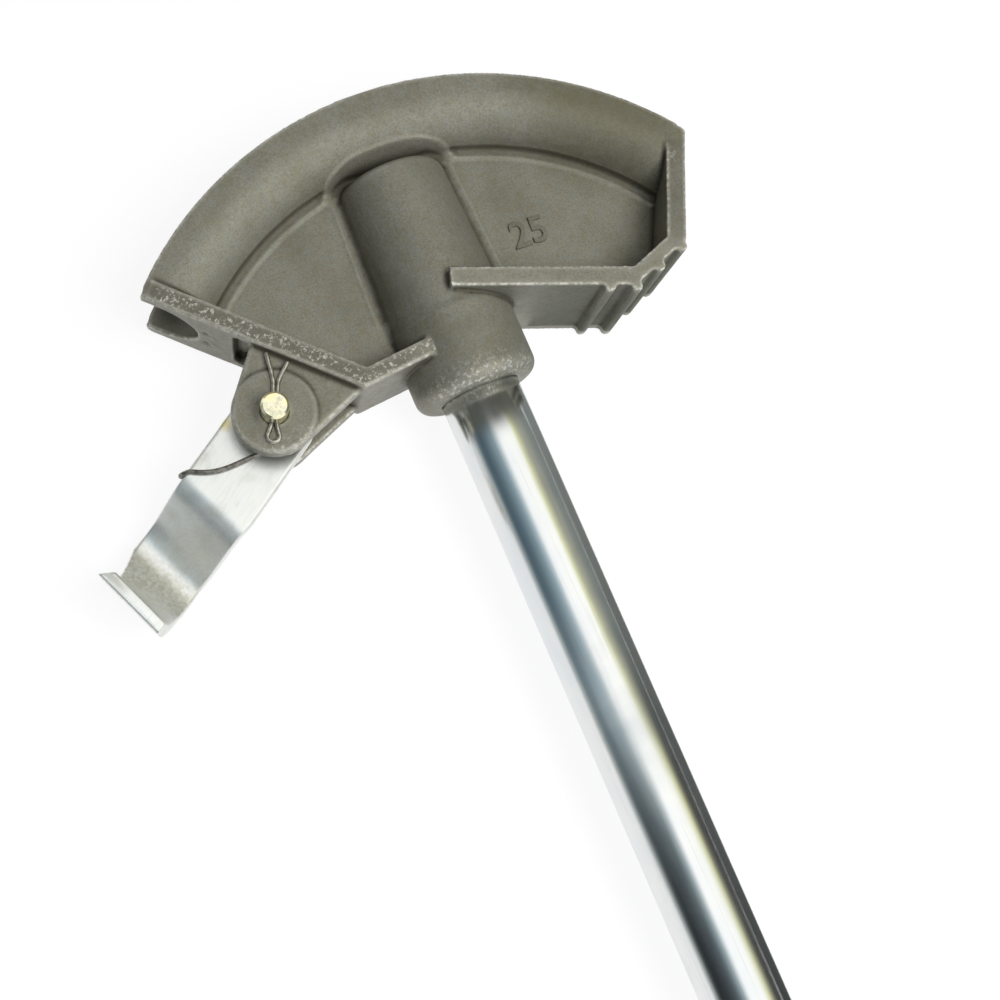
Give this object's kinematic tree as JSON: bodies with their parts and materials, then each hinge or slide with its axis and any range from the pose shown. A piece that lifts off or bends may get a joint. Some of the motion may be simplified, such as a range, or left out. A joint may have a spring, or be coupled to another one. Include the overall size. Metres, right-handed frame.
{
  "type": "pipe bender",
  "caption": "Hand conduit bender: a cast groove former with a foot pedal on a long tube handle, and a sprung swinging hook.",
  "frame": {"origin": "centre of the bend, in the middle plane of the groove", "axes": "+Z along the axis of the bend and of the hook pin, +Y from the handle towards the top of the groove, +X from the hook towards the foot pedal"},
  "size_m": [0.2328, 0.9986, 0.048],
  "materials": {
    "cast_head": "as-cast, rough",
    "handle_zinc": "bright zinc plated, smooth",
    "hook_zinc": "bright zinc plated, worn",
    "pin_steel": "turned, smooth",
    "split_steel": "drawn wire",
    "spring_steel": "oiled spring wire"
  },
  "bodies": {
    "frame": {"bending_head": "cast_head", "handle_tube": "handle_zinc", "hook_pin": "pin_steel", "split_pin": "split_steel", "torsion_spring": "spring_steel"},
    "hook": {"hook": "hook_zinc"}
  },
  "joints": [
    {"name": "hook_pivot", "type": "hinge", "parent": "frame", "child": "hook", "pos_m": [-0.06632, 0.03517, 0], "axis": [0, 0, 1], "range_deg": [-76, 25], "stiffness_Nm_per_rad": 0.2, "deforming": ["torsion_spring"]}
  ]
}
